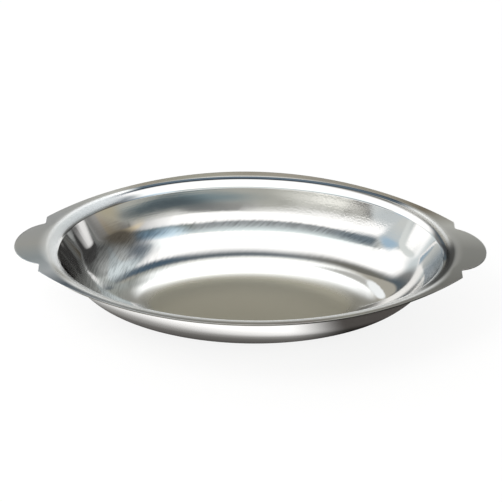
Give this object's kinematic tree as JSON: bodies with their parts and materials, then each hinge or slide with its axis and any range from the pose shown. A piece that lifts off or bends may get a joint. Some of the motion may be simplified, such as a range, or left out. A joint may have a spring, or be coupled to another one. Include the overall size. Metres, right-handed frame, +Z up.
{
  "type": "oval eared dish",
  "caption": "Shallow oval stainless steel dish with a flat floor, curved walls, a rolled-over lip and a narrow flange that widens into a rounded ear at each end.",
  "frame": {"origin": "middle of the flat underside that the dish stands on", "axes": "+X along the length from ear to ear, +Y across the bowl, +Z up out of the mouth"},
  "size_m": [0.253, 0.145, 0.0407],
  "materials": {
    "steel": "polished walls and lip, satin brushed floor and flange"
  },
  "bodies": {
    "root": {"dish": "steel"}
  },
  "joints": []
}
